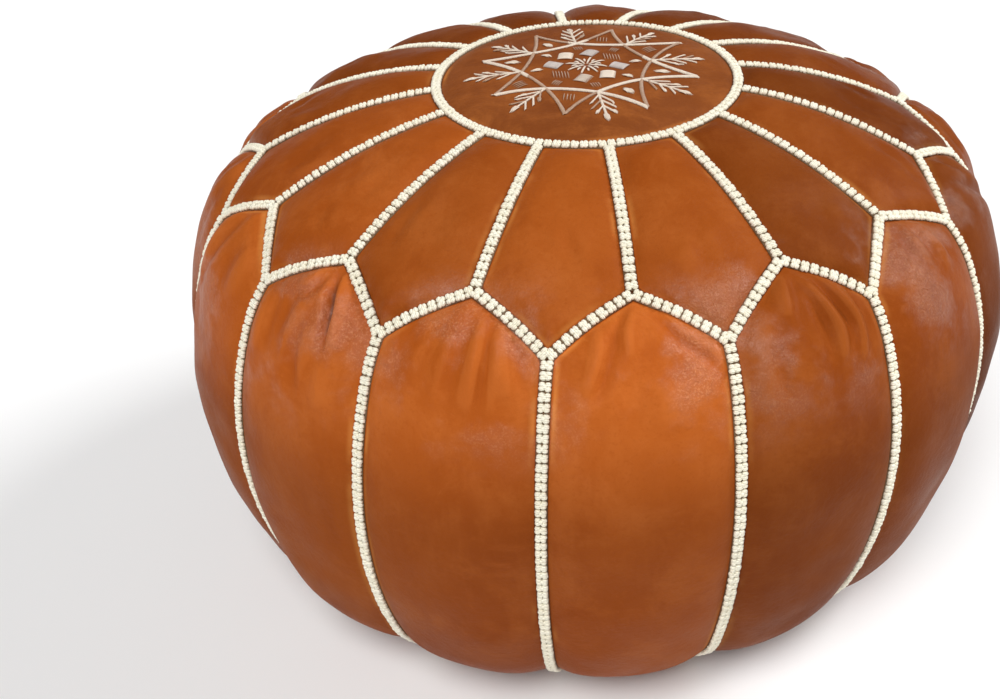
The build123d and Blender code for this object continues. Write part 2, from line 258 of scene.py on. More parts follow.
def crease(x, y, path, width, depth, lean):
    """A fold along a path of (x, y) points: a valley with a ridge on each side, the higher on lean's."""
    best = np.full(x.shape, np.inf)
    signed = np.zeros(x.shape)
    along = np.zeros(x.shape)
    path = smooth_path(path) * MM
    runs = np.hypot(*np.diff(path, axis=0).T)
    start = 0.0
    for a, b, run in zip(path[:-1], path[1:], runs):
        ux, uy = (b - a) / run
        t = np.clip((x - a[0]) * ux + (y - a[1]) * uy, 0, run)
        dx, dy = x - a[0] - t * ux, y - a[1] - t * uy
        distance = np.hypot(dx, dy)
        closer = distance < best
        best = np.where(closer, distance, best)
        signed = np.where(closer, dx * uy - dy * ux, signed)
        along = np.where(closer, (start + t) / runs.sum(), along)
        start += run
    width *= MM
    fade = np.sin(pi * np.clip(along, 0.001, 0.999)) ** 0.6
    ends = np.exp(-np.maximum(best - np.abs(signed), 0) / width)
    valley = -np.exp(-((signed / width) ** 2))
    ridges = 0.0
    for side, share in ((1, 0.5 + 0.35 * lean), (-1, 0.5 - 0.35 * lean)):
        ridges = ridges + share * np.exp(-(((side * signed - 1.9 * width) / (1.2 * width)) ** 2))
    return depth * MM * fade * ends * (valley + ridges)


# Folds seen on the side panels: panel number, path in mm across and down from the panel's apex, then
# width, depth and the side of the higher ridge.
FOLDS = {
    10: [([(-6, 14), (-12, 40), (-16, 70)], 6, 1.6, -1), ([(10, 24), (16, 60)], 7, 1.0, 1)],
    11: [
        ([(1, 7), (8, 22), (13, 33), (17, 52)], 2.8, 3.0, 1),
        ([(0, 8), (-4, 20), (-10, 32)], 3.8, 1.5, -1),
        ([(-3, 42), (0, 62), (4, 84)], 4.6, 1.5, 1),
        ([(-28, 32), (-26, 48), (-23, 68)], 5.5, 1.5, -1),
        ([(-14, 22), (-16, 44), (-13, 66)], 5, 1.2, 1),
        ([(12, 56), (12, 84)], 5, 1.1, 1),
    ],
    12: [
        ([(15, 12), (16, 30), (17, 50), (17, 68)], 2.6, 1.5, 0),
        ([(5, 16), (3, 36), (0, 62)], 4.4, 1.3, 1),
        ([(26, 18), (32, 34), (39, 54)], 4.6, 1.4, -1),
        ([(-20, 22), (-30, 44), (-34, 70)], 6, 0.8, -1),
        ([(-8, 16), (-13, 40), (-16, 66)], 6, 0.7, 1),
    ],
    13: [
        ([(-5, 8), (-10, 22), (-10, 37)], 2.4, 1.3, 1),
        ([(-13, 18), (-16, 38), (-24, 57)], 3.2, 1.6, -1),
        ([(4, 7), (9, 13), (19, 28), (36, 44), (45, 58)], 3.2, 1.5, 1),
        ([(-34, 36), (-38, 60), (-38, 80)], 6, 0.9, -1),
        ([(-2, 46), (-2, 76)], 7, 0.7, 1),
    ],
    14: [
        ([(4, 9), (10, 21), (16, 37), (20, 50), (15, 66)], 3.6, 2.3, 1),
        ([(-1, 14), (1, 29), (4, 45), (3, 64)], 3.6, 1.9, 1),
        ([(1, 7), (-5, 22), (-10, 38)], 3.6, 1.4, -1),
        ([(-16, 30), (-26, 52), (-28, 78)], 5, 1.2, -1),
        ([(26, 30), (31, 50), (30, 72)], 4.6, 1.3, 1),
    ],
    15: [
        ([(0, 8), (-5, 20), (-9, 36)], 4, 1.6, 1),
        ([(4, 10), (8, 24), (8, 44)], 4, 1.6, 1),
        ([(22, 24), (26, 50)], 5, 0.9, -1),
    ],
    16: [([(-9, 17), (2, 36), (18, 52), (32, 66)], 4.4, 1.6, 1), ([(4, 10), (12, 40)], 5, 1.1, 1)],
}


def scattered_folds(panel):
    """Soft folds that fan from an apex, for the panels with none listed."""
    rng = np.random.default_rng(100 + panel)
    folds = []
    for slant in np.linspace(-0.75, 0.75, 4) + rng.normal(0, 0.12, 4):
        x, y = rng.normal(0, 2), rng.uniform(7, 16)
        reach = rng.uniform(34, 66)
        middle = (x + reach * 0.5 * sin(slant), y + reach * 0.5 * cos(slant))
        end = (middle[0] + reach * 0.4 * sin(slant * 0.5), middle[1] + reach * 0.5)
        folds.append(([(x, y), middle, end], rng.uniform(4, 6.5), rng.uniform(0.4, 1.1), 1))
    return folds


def side_panel_grid(panel):
    """Points, seam distance and fold height over one side panel."""
    middle = (panel - 1) * PANEL_COLUMNS
    half = PANEL_COLUMNS // 2
    columns = np.arange(middle - half, middle + half + 1)
    angle, chevron, _ = cover.around(columns)
    share = np.linspace(0, 1, SIDE_ROWS + 1)[:, None]
    length = chevron + (BASE_LENGTH - chevron) * share
    radius = radius_at(length)
    angle = np.broadcast_to(angle, length.shape)
    to_left = radius * (angle - angle[:, :1])
    to_right = radius * (angle[:, -1:] - angle)
    to_chevron = (length - chevron) * CHEVRON_SLOPE
    to_base = BASE_LENGTH - length
    sides = np.minimum(to_left, to_right)
    rise = swell(sides, SIDE_REACH) * swell(to_chevron, SIDE_REACH)
    plain = skin(angle, length, 0 * length)
    lumpy = 0.9 * MM * lumps(plain, 0.085, 5) + 0.35 * MM * lumps(plain, 0.03, 6)
    across = (to_left - to_right) / (to_left + to_right + 1e-9)
    crown = SIDE_CROWN * (1 - across**2)
    x = radius * (angle - angle[:, half : half + 1])
    y = length - chevron[half]
    folds = FOLD_DEPTH * sum(crease(x, y, *f) for f in FOLDS.get(panel, scattered_folds(panel)))
    out = VALLEY + rise * (SIDE_PUFF + crown + lumpy) + folds * swell(sides, 3 * MM) * np.minimum(
        1, swell(to_chevron, 2 * MM) * 1.2
    )
    floor = smooth(plain[..., 2] / FLOOR_FADE)
    seam = np.minimum(np.minimum(sides, to_chevron), to_base)
    return skin(angle, length, out * floor), seam, folds


def petal_grid(petal):
    """Points, seam distance and fold height over one top petal."""
    first = (petal - 1) * PANEL_COLUMNS
    angle, chevron, ring = cover.around(np.arange(first, first + PANEL_COLUMNS + 1))
    share = np.linspace(0, 1, PETAL_ROWS + 1)[:, None]
    length = ring + (chevron - ring) * share
    radius = radius_at(length)
    angle = np.broadcast_to(angle, length.shape)
    to_left = radius * (angle - angle[:, :1])
    to_right = radius * (angle[:, -1:] - angle)
    sides = np.minimum(to_left, to_right)
    to_ring = length - ring
    to_chevron = (chevron - length) * CHEVRON_SLOPE
    rise = swell(sides, PETAL_REACH) * swell(to_ring, PETAL_REACH) * swell(to_chevron, PETAL_REACH)
    plain = skin(angle, length, 0 * length)
    lumpy = 0.8 * MM * lumps(plain, 0.07, 15) + 0.3 * MM * lumps(plain, 0.025, 16)
    across = (to_left - to_right) / (to_left + to_right + 1e-9)
    crown = PETAL_CROWN * (1 - across**2)
    rng = np.random.default_rng(300 + petal)
    x = radius * (angle - angle[:, PANEL_COLUMNS // 2 : PANEL_COLUMNS // 2 + 1])
    y = length - ring
    folds = 0.0
    for _ in range(3):
        begin = rng.uniform((-22, 60), (22, 95))
        end = begin + rng.normal(0, 9, 2) + (0, 26)
        path = [begin, (begin + end) / 2 + rng.normal(0, 2, 2), end]
        folds = folds + crease(x, y, path, rng.uniform(4, 7), rng.uniform(0.4, 0.9), 1)
    out = VALLEY + rise * (PETAL_PUFF + crown + lumpy + folds)
    seam = np.minimum(np.minimum(sides, to_ring), to_chevron)
    return skin(angle, length, out), seam, folds


def on_medallion(x, y, lift=0.0):
    """Points on the medallion above plan points, raised by lift."""
    radius = np.hypot(x, y)
    angle = np.arctan2(y, x)
    limit = ring_radius(angle)
    rise = swell(limit - radius, 9 * MM)
    pillow = DOME * np.clip(1 - (radius / limit) ** 2, 0, 1)
    plan = np.stack([x, y, 0 * x], -1)
    bumps = 0.5 * MM * lumps(plan, 0.06, 25) * rise
    out = VALLEY + rise * 3.6 * MM + pillow + bumps + lift
    return skin(angle, length_at(radius), out)


# ---------------------------------------------------------------- meshes

def new_object(name, verts, faces, attributes=None):
    """A smooth-shaded mesh object, with named numbers on its points."""
    mesh = bpy.data.meshes.new(name)
    verts = np.asarray(verts, np.float32)
    mesh.vertices.add(len(verts))
    mesh.vertices.foreach_set("co", verts.ravel())
    sizes = np.array([len(f) for f in faces], np.int32)
    loops = np.concatenate([np.asarray(f, np.int32) for f in faces])
    mesh.loops.add(len(loops))
    mesh.loops.foreach_set("vertex_index", loops)
    mesh.polygons.add(len(sizes))
    starts = np.concatenate([[0], np.cumsum(sizes)[:-1]]).astype(np.int32)
    mesh.polygons.foreach_set("loop_start", starts)
    mesh.update(calc_edges=True)
    mesh.validate()
    mesh.shade_smooth()
    for key, values in (attributes or {}).items():
        layer = mesh.attributes.new(key, "FLOAT", "POINT")
        layer.data.foreach_set("value", np.asarray(values, np.float32).ravel())
    obj = bpy.data.objects.new(name, mesh)
    bpy.context.scene.collection.objects.link(obj)
    return obj


def grid_faces(rows, columns):
    """Quads over a grid of points, seen anticlockwise from outside."""
    i, j = np.meshgrid(np.arange(rows - 1), np.arange(columns - 1), indexing="ij")
    a = (i * columns + j).ravel()
    return np.stack([a, a + columns, a + columns + 1, a + 1], 1)


def ring_faces(rings, around, first=0):
    """Quads between closed rings of points, which are numbered from first on."""
    faces = []
    for j in range(around):
        k = (j + 1) % around
        for i in range(rings - 1):
            a, b = first + i * around, first + (i + 1) * around
            faces.append((a + j, b + j, b + k, a + k))
    return faces


def fan(centre, first, around):
    """Triangles from a centre point to a ring of points, which are numbered from first on."""
    return [(centre, first + j, first + (j + 1) % around) for j in range(around)]


def turned_over(faces):
    """Faces that look the other way."""
    return [face[::-1] for face in faces]


def panel_object(name, grid, material, node, tone_and_shade):
    """A leather panel with thickness, in place of its CAD node. Its colour is scaled by a number of its
    own: its hide's tone, and painted shade where it faces away from the lights.
    """
    points, seam, folds = grid
    folds = np.broadcast_to(folds, seam.shape)
    obj = new_object(
        name,
        points.reshape(-1, 3),
        grid_faces(*points.shape[:2]),
        {"seam": seam / MM, "fold": folds / MM, "tone_and_shade": 0 * seam + tone_and_shade},
    )
    thicken(obj)
    finish_piece(obj, material, [node])


def thicken(obj):
    """Gives a skin its leather thickness, inward."""
    solid = obj.modifiers.new("thickness", "SOLIDIFY")
    solid.thickness = LEATHER
    solid.offset = -1


def finish_piece(obj, materials, nodes):
    """Material, and the CAD nodes that it stands for. It rides on the cover."""
    for material in materials if isinstance(materials, (list, tuple)) else [materials]:
        obj.data.materials.append(material)
    if nodes:
        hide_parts(*nodes)
    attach(obj, "cover")


# ---------------------------------------------------------------- materials

def shader(name, roughness=0.5, **values):
    """A new material, with its Principled node's plain values set on its own sockets."""
    material = bpy.data.materials.new(name)
    material.use_nodes = True
    nodes = material.node_tree.nodes
    bsdf = nodes["Principled BSDF"]
    bsdf.inputs["Roughness"].default_value = roughness
    for key, value in values.items():
        bsdf.inputs[key.replace("_", " ").title().replace("Ior", "IOR")].default_value = value
    return material, material.node_tree, bsdf


class Graph:
    """Short names for the nodes that the materials use."""

    def __init__(self, tree):
        self.tree = tree
        self.place = tree.nodes.new("ShaderNodeTexCoord").outputs["Object"]

    def link(self, value, socket):
        if isinstance(value, bpy.types.NodeSocket):
            self.tree.links.new(value, socket)
        else:
            socket.default_value = value

    def noise(self, scale, detail=3.0, roughness=0.55, stretch=None, distortion=0.0):
        node = self.tree.nodes.new("ShaderNodeTexNoise")
        node.inputs["Scale"].default_value = scale
        node.inputs["Detail"].default_value = detail
        node.inputs["Roughness"].default_value = roughness
        node.inputs["Distortion"].default_value = distortion
        vector = self.place
        if stretch:
            mapping = self.tree.nodes.new("ShaderNodeMapping")
            mapping.inputs["Scale"].default_value = stretch
            self.tree.links.new(self.place, mapping.inputs["Vector"])
            vector = mapping.outputs["Vector"]
        self.tree.links.new(vector, node.inputs["Vector"])
        return node.outputs["Fac"]

    def cells(self, scale, feature="F1"):
        node = self.tree.nodes.new("ShaderNodeTexVoronoi")
        node.feature = feature
        node.inputs["Scale"].default_value = scale
        self.tree.links.new(self.place, node.inputs["Vector"])
        return node.outputs["Distance"]

    def number(self, name):
        node = self.tree.nodes.new("ShaderNodeAttribute")
        node.attribute_name = name
        return node.outputs["Fac"]

    def math(self, operation, a, b=0.0):
        node = self.tree.nodes.new("ShaderNodeMath")
        node.operation = operation
        self.link(a, node.inputs[0])
        self.link(b, node.inputs[1])
        return node.outputs[0]

    def span(self, value, low, high, to_low=0.0, to_high=1.0):
        node = self.tree.nodes.new("ShaderNodeMapRange")
        node.interpolation_type = "SMOOTHSTEP"
        self.link(value, node.inputs["Value"])
        node.inputs["From Min"].default_value = low
        node.inputs["From Max"].default_value = high
        node.inputs["To Min"].default_value = to_low
        node.inputs["To Max"].default_value = to_high
        return node.outputs["Result"]

    def mix(self, share, a, b):
        node = self.tree.nodes.new("ShaderNodeMix")
        node.data_type = "RGBA"
        self.link(share, node.inputs[0])
        for value, socket in ((a, node.inputs[6]), (b, node.inputs[7])):
            if isinstance(value, bpy.types.NodeSocket):
                self.tree.links.new(value, socket)
            else:
                socket.default_value = (*value, 1.0)
        return node.outputs[2]

    def shade(self, colour, amount):
        """A colour times a number."""
        node = self.tree.nodes.new("ShaderNodeVectorMath")
        node.operation = "SCALE"
        self.link(colour, node.inputs[0])
        self.link(amount, node.inputs["Scale"])
        return node.outputs[0]

    def bump(self, height, strength, distance, normal=None):
        node = self.tree.nodes.new("ShaderNodeBump")
        node.inputs["Strength"].default_value = strength
        node.inputs["Distance"].default_value = distance
        self.tree.links.new(height, node.inputs["Height"])
        if normal:
            self.tree.links.new(normal, node.inputs["Normal"])
        return node.outputs["Normal"]


def leather(name, dark, middle, light, rub_and_highlight, seams=True):
    """Waxed tan hide: mottled colour, fine grain and creased patches, with painted light: a pale band by
    the seams (rubbed wear and painted highlight), painted sheen in the patches, painted highlight on
    fold ridges, and painted shade in folds, in seam grooves and towards the bottom.
    """
    material, tree, bsdf = shader(name)
    g = Graph(tree)
    height = tree.nodes.new("ShaderNodeSeparateXYZ")
    tree.links.new(g.place, height.inputs["Vector"])
    broad = g.noise(7.0, 4.0, 0.6)
    cloud = g.noise(24.0, 6.0, 0.7, distortion=0.5)
    streaks = g.noise(42.0, 4.0, 0.6, stretch=(1, 1, 0.22))
    scuffs = g.noise(85.0, 5.0, 0.75, distortion=1.5)
    specks = g.noise(420.0, 3.0, 0.7)
    colour = g.mix(g.span(broad, 0.36, 0.66), dark, middle)
    colour = g.mix(g.span(cloud, 0.44, 0.72, 0.0, 0.8), colour, light)
    colour = g.mix(g.span(streaks, 0.5, 0.74, 0.0, 0.5), colour, light)
    colour = g.mix(g.span(streaks, 0.46, 0.28, 0.0, 0.6), colour, dark)
    colour = g.mix(g.span(scuffs, 0.56, 0.74, 0.0, 0.45), colour, light)
    colour = g.mix(g.span(specks, 0.52, 0.7, 0.0, 0.35), colour, dark)
    high = height.outputs["Z"]
    shoulder = g.math("MULTIPLY", g.span(high, 0.19, 0.25), g.span(high, 0.295, 0.272, 0.15, 1.0))
    patches = g.math("MULTIPLY", g.span(g.noise(17.0, 4.0, 0.6), 0.46, 0.66), shoulder)
    # Pale bead tops in the creased shoulder patches: painted sheen.
    painted_bead_sheen = g.math("MULTIPLY", g.span(g.noise(900.0, 2.0, 0.6), 0.5, 0.62), patches)
    colour = g.mix(g.span(painted_bead_sheen, 0.0, 1.0, 0.0, 0.26), colour, (0.7, 0.3, 0.13))
    if seams:
        seam, fold = g.number("seam"), g.number("fold")
        patchy = g.noise(15.0, 4.0, 0.6)
        # A patchy pale band a few mm from each seam, on the puff's rising edge: partly rubbed wear,
        # partly painted highlight.
        rub_and_highlight_band = g.math("MULTIPLY", g.span(seam, 3.9, 4.9), g.span(seam, 8.0, 5.0))
        rub_and_highlight_band = g.math("MULTIPLY", rub_and_highlight_band, g.span(patchy, 0.47, 0.63, 0.0, 0.7))
        colour = g.mix(rub_and_highlight_band, colour, rub_and_highlight)
        # Painted shade, with dirt, in the groove beside each braid: near black at the seam's edge.
        groove_dirt_and_shade = g.span(seam, 4.1, 3.2)
        colour = g.mix(g.math("MULTIPLY", groove_dirt_and_shade, 0.8), colour, (0.03, 0.01, 0.005))
        # Painted highlight on fold ridges and painted shade in their valleys, near black in the deepest
        # creases.
        colour = g.mix(g.span(fold, 0.15, 1.0, 0.0, 0.5), colour, light)
        colour = g.mix(g.span(fold, -0.3, -2.2, 0.0, 0.6), colour, dark)
        colour = g.mix(g.span(fold, -2.0, -3.8, 0.0, 0.75), colour, (0.06, 0.016, 0.005))
        # Painted shade by height: darker towards the bottom and lighter towards the top, times each
        # piece's tone and painted shade.
        painted_shade_by_height = g.span(high, 0.165, 0.25, 0.66, 1.1)
        colour = g.shade(colour, g.math("MULTIPLY", painted_shade_by_height, g.number("tone_and_shade")))
    tree.links.new(colour, bsdf.inputs["Base Color"])
    polish = g.noise(16.0, 4.0, 0.6)
    tree.links.new(g.span(polish, 0.35, 0.68, 0.36, 0.56), bsdf.inputs["Roughness"])
    grain = g.cells(900.0, "DISTANCE_TO_EDGE")
    pebble = g.noise(300.0, 4.0, 0.6)
    wrinkles = g.math("MULTIPLY", g.noise(170.0, 5.0, 0.7, distortion=1.0), patches)
    tree.links.new(g.span(patches, 0.0, 1.0, 0.035, 0.55), bsdf.inputs["Specular IOR Level"])
    normal = g.bump(g.span(grain, 0.0, 0.09), 0.3, 0.0002)
    normal = g.bump(g.span(pebble, 0.3, 0.7), 0.4, 0.0003, normal)
    normal = g.bump(wrinkles, 1.0, 0.0014, normal)
    tree.links.new(normal, bsdf.inputs["Normal"])
    return material


def thread(name, colour, shade, roughness=0.6, sheen=0.25):
    """Twisted cotton or silk thread, with strands along the "strand" number, painted shade between them,
    and a tone per stitch.
    """
    material, tree, bsdf = shader(name, roughness, sheen_weight=sheen, sheen_roughness=0.4)
    g = Graph(tree)
    tone = g.number("tone")
    soft = g.noise(60.0, 3.0, 0.6)
    base = g.mix(g.span(soft, 0.3, 0.75, 0.0, 0.5), colour, shade)
    base = g.mix(g.span(tone, 0.0, 1.0, 0.0, 0.55), base, shade)
    # Painted shade in the grooves between the twisted strands, beside their bump.
    strand = g.math("SINE", g.math("MULTIPLY", g.number("strand"), 14.0))
    base = g.mix(g.span(strand, 0.1, -1.0, 0.0, 0.35), base, tuple(c * 0.5 for c in shade))
    tree.links.new(base, bsdf.inputs["Base Color"])
    normal = g.bump(strand, 0.6, 0.00016)
    normal = g.bump(g.noise(2600.0, 2.0, 0.6), 0.3, 0.0001, normal)
    tree.links.new(normal, bsdf.inputs["Normal"])
    return material


def woven(name, colour, shade, scale):
    """Plain woven cloth or tape."""
    material, tree, bsdf = shader(name, 0.85, sheen_weight=0.15)
    g = Graph(tree)
    split = tree.nodes.new("ShaderNodeSeparateXYZ")
    tree.links.new(g.place, split.inputs["Vector"])
    warp = g.math("SINE", g.math("MULTIPLY", split.outputs["X"], scale))
    weft = g.math("SINE", g.math("MULTIPLY", split.outputs["Y"], scale))
    weave = g.math("MULTIPLY", warp, weft)
    mottle = g.noise(45.0, 4.0, 0.6)
    base = g.mix(g.span(mottle, 0.3, 0.7), colour, shade)
    base = g.mix(g.span(weave, 0.0, -1.0, 0.0, 0.4), base, tuple(c * 0.6 for c in shade))
    tree.links.new(base, bsdf.inputs["Base Color"])
    tree.links.new(g.bump(weave, 0.5, 0.0002), bsdf.inputs["Normal"])
    return material


def metal(name, colour, worn):
    """Cast brass, rubbed brighter on its high spots."""
    material, tree, bsdf = shader(name, 0.35, metallic=1.0)
    g = Graph(tree)
    tarnish = g.noise(220.0, 5.0, 0.65)
    base = g.mix(g.span(tarnish, 0.4, 0.7), colour, worn)
    tree.links.new(base, bsdf.inputs["Base Color"])
    tree.links.new(g.span(tarnish, 0.3, 0.7, 0.28, 0.5), bsdf.inputs["Roughness"])
    tree.links.new(g.bump(g.noise(900.0, 4.0, 0.6), 0.25, 0.0001), bsdf.inputs["Normal"])
    return material


# Each leather's dark, middle and light mottling colours, then the pale seam band's colour, which is
# rubbed wear and painted highlight.
TAN = leather(
    "tan_leather", (0.36, 0.074, 0.008), (0.43, 0.098, 0.013), (0.49, 0.125, 0.022),
    (0.66, 0.23, 0.05),
)
BROWN = leather(
    "medallion_leather", (0.16, 0.04, 0.009), (0.22, 0.06, 0.013), (0.31, 0.092, 0.02),
    (0.5, 0.17, 0.035),
)
BASE_TAN = leather(
    "base_leather", (0.24, 0.058, 0.01), (0.33, 0.088, 0.016), (0.42, 0.13, 0.03),
    (0.5, 0.2, 0.05), seams=False,
)
CORD = thread("braid_thread", (0.98, 0.94, 0.79), (0.84, 0.77, 0.58))
CREAM = thread("cream_silk", (1.0, 0.87, 0.72), (0.86, 0.68, 0.52), 0.42, 0.4)
GOLD = thread("tan_silk", (0.6, 0.37, 0.23), (0.42, 0.24, 0.14), 0.45, 0.4)
GREY = thread("pale_silk", (0.72, 0.62, 0.56), (0.55, 0.45, 0.4), 0.42, 0.4)
SEWING = thread("sewing_thread", (0.2, 0.1, 0.05), (0.12, 0.06, 0.03))
# A dark strip under each braid, coloured as the needle holes and as painted shade in the gaps and along
# the edges of the knots.
HOLES_AND_SHADE = leather(
    "braid_holes_and_painted_shade", (0.12, 0.075, 0.04), (0.17, 0.11, 0.06), (0.22, 0.15, 0.09),
    (0.1, 0.04, 0.02), seams=False,
)
COTTON = woven("cotton_cloth", (0.72, 0.68, 0.58), (0.62, 0.57, 0.47), 4200.0)
FIBRE = woven("cotton_stuffing", (0.78, 0.75, 0.68), (0.6, 0.56, 0.5), 900.0)
TAPE = woven("zip_tape", (0.07, 0.035, 0.018), (0.045, 0.022, 0.012), 9000.0)
BRASS = metal("zip_brass", (0.5, 0.34, 0.13), (0.75, 0.56, 0.26))


# ---------------------------------------------------------------- braids

def ball(around, rings):
    """A unit ball's points and faces."""
    verts = [(0, 0, 1.0)]
    for i in range(1, rings):
        lean = pi * i / rings
        verts += [
            (sin(lean) * cos(tau * j / around), sin(lean) * sin(tau * j / around), cos(lean))
            for j in range(around)
        ]
    verts.append((0, 0, -1.0))
    last = len(verts) - 1
    faces = fan(0, 1, around) + ring_faces(rings - 1, around, 1)
    faces += turned_over(fan(last, last - around, around))
    return np.array(verts), faces


KNOT_PITCH = 5.2 * MM
LOBES = [(-1.08, -1.5), (-1.08, 1.5), (1.08, -1.5), (1.08, 1.5), (0, 0)]
LOBE_SIZE = np.array([1.43, 1.78, 1.5])


def resample(points, normals, pitch):
    """Even stations along a path: points, directions and normals."""
    steps = np.linalg.norm(np.diff(points, axis=0), axis=1)
    at = np.concatenate([[0], np.cumsum(steps)])
    count = max(1, int(round(at[-1] / pitch)))
    stations = (np.arange(count) + 0.5) * at[-1] / count

    def read(where, values):
        return np.stack([np.interp(where, at, values[:, i]) for i in range(3)], 1)

    ahead = read(stations + pitch / 3, points) - read(stations - pitch / 3, points)
    return read(stations, points), unit(ahead), unit(read(stations, normals))


def braid(name, path, nodes, seed):
    """Thread knots along a path, each four lobes round a core, on a dark strip that paints the needle
    holes and the shade under them.
    """
    points, normals = path
    rng = np.random.default_rng(seed)
    centre, ahead, up = resample(points, normals, KNOT_PITCH)
    across = unit(np.cross(up, ahead))
    up = np.cross(ahead, across)
    ball_points, ball_faces = ball(8, 5)
    ball_size = len(ball_points)
    verts, strand, tone, faces, kinds = [], [], [], [], []
    offset = 0
    for i in range(len(centre)):
        frame3 = np.stack([ahead[i], across[i], up[i]])
        turn = rng.normal(0, 0.05)
        spin = np.array([[cos(turn), sin(turn), 0], [-sin(turn), cos(turn), 0], [0, 0, 1]])
        grow = 1 + rng.normal(0, 0.035, 3)
        shade = rng.uniform(0, 0.5)
        for x, y in LOBES:
            size = LOBE_SIZE * grow * (1 + rng.normal(0, 0.05, 3))
            slant = 0.22 * np.sign(x * y) + rng.normal(0, 0.06)
            tip = np.array([[cos(slant), sin(slant), 0], [-sin(slant), cos(slant), 0], [0, 0, 1]])
            local = (ball_points * size) @ tip
            strand.append(local[:, 0] * 0.42)
            centre_mm = np.array([x, y, 1.15]) + rng.normal(0, 0.1, 3)
            local = (local + centre_mm) @ spin
            verts.append(centre[i] + (local * MM) @ frame3)
            tone.append(np.full(ball_size, min(1, shade + rng.uniform(0, 0.3))))
            faces += [tuple(v + offset for v in f) for f in ball_faces]
            offset += ball_size
    kinds += [0] * len(faces)
    strip, strip_faces = backing(points, normals)
    verts.append(strip)
    strand.append(np.zeros(len(strip)))
    tone.append(np.zeros(len(strip)))
    faces += [tuple(v + offset for v in f) for f in strip_faces]
    kinds += [1] * len(strip_faces)
    obj = new_object(
        name,
        np.concatenate(verts),
        faces,
        {"strand": np.concatenate(strand), "tone": np.concatenate(tone)},
    )
    finish_piece(obj, [CORD, HOLES_AND_SHADE], nodes)
    obj.data.polygons.foreach_set("material_index", np.array(kinds, np.int32))


BACKING = [(-3.4, -0.6), (-3.2, 0.2), (-1.8, 0.6), (1.8, 0.6), (3.2, 0.2), (3.4, -0.6)]


def backing(points, normals):
    """The dark strip under a braid, painted as its needle holes and the shade under its knots: a low
    band with closed ends.
    """
    ahead = unit(np.gradient(points, axis=0))
    across = unit(np.cross(normals, ahead))
    rings = [points + y * MM * across + z * MM * unit(normals) for y, z in BACKING]
    verts = np.stack(rings, 1)
    rows, around = verts.shape[:2]
    faces = []
    for i in range(rows - 1):
        n = i + 1
        for j in range(around):
            k = (j + 1) % around
            faces.append((i * around + j, i * around + k, n * around + k, n * around + j))
    faces.append(tuple(range(around))[::-1])
    faces.append(tuple((rows - 1) * around + j for j in range(around)))
    return verts.reshape(-1, 3), faces


def seam_path(angle, length):
    """Points in the seam's groove, and the cover's smooth normals there."""
    angle, length = np.broadcast_arrays(angle, length)
    low = skin(angle, length, np.full(length.shape, VALLEY))
    floor = smooth(low[..., 2] / FLOOR_FADE)
    low = skin(angle, length, VALLEY * floor)
    high = skin(angle, length, np.full(length.shape, 10 * MM))
    return low, unit(high - low)


def make_braids():
    half = PANEL_COLUMNS // 2
    ring_angle = np.append(cover.angle, cover.angle[0] + tau)
    ring_length = np.append(cover.ring, cover.ring[0])
    braid("medallion_ring_braid", seam_path(ring_angle, ring_length), ["medallion_ring_braid"], 1)
    for k in range(PANELS):
        angle, chevron, ring = cover.around(np.array([k * PANEL_COLUMNS]))
        path = seam_path(angle, np.linspace(ring[0] + 3 * MM, chevron[0] - 2 * MM, 60))
        braid(f"radial_braid_{k + 1:02d}", path, ["radial_braids"], 20 + k)
    for k in range(PANELS):
        for part, low in (("a", 0), ("b", half)):
            columns = np.arange(k * PANEL_COLUMNS + low, k * PANEL_COLUMNS + low + half + 1)
            angle, chevron, _ = cover.around(columns)
            name = f"chevron_braid_{k + 1:02d}{part}"
            braid(name, seam_path(angle, chevron), ["chevron_braid"], 60 + 2 * k + (low > 0))
    for k in range(PANELS):
        angle, chevron, _ = cover.around(np.array([k * PANEL_COLUMNS + half]))
        length = np.linspace(chevron[0] + 1.0 * MM, BASE_LENGTH, 260)
        points, normals = seam_path(angle, length)
        above = points[:, 2] > SIDE_BRAID_END
        name = f"side_braid_{k + 1:02d}"
        braid(name, (points[above], normals[above]), ["side_braids"], 120 + k)


# ---------------------------------------------------------------- embroidery

# The star's points, and how far in mm and degrees each strays from an even star.
STAR_TURN = radians(23.6)
STAR_RADIUS = 71.0
STAR_WAIST = 0.53
POINT_REACH = (4, -1, 0, -2, -3, 0, 2, 0)
POINT_TURN = (3, -1, -3, -2, 3, 3, -2, -1)

# For the side from each point to the next but one: the thread it starts with, the thread it ends
# with, and where it changes over.
STAR_THREADS = [
    ("cream", "tan", 0.72),
    ("tan", "cream", 0.25),
    ("tan", "tan", 0.5),
    ("cream", "tan", 0.42),
    ("cream", "cream", 0.5),
    ("tan", "cream", 0.33),
    ("tan", "tan", 0.5),
    ("cream", "tan", 0.42),
]
LEAFY_POINTS = (2, 3, 6, 7)
COMB_POINTS = (0, 4)
LOZENGE_SLANTS = (-36, -13, 53)

# How far apart in mm the stitches lie, and how thick satin thread is.
SATIN_PITCH = 0.52
SATIN_THREAD = 0.66
LEAF_PITCH = 0.5


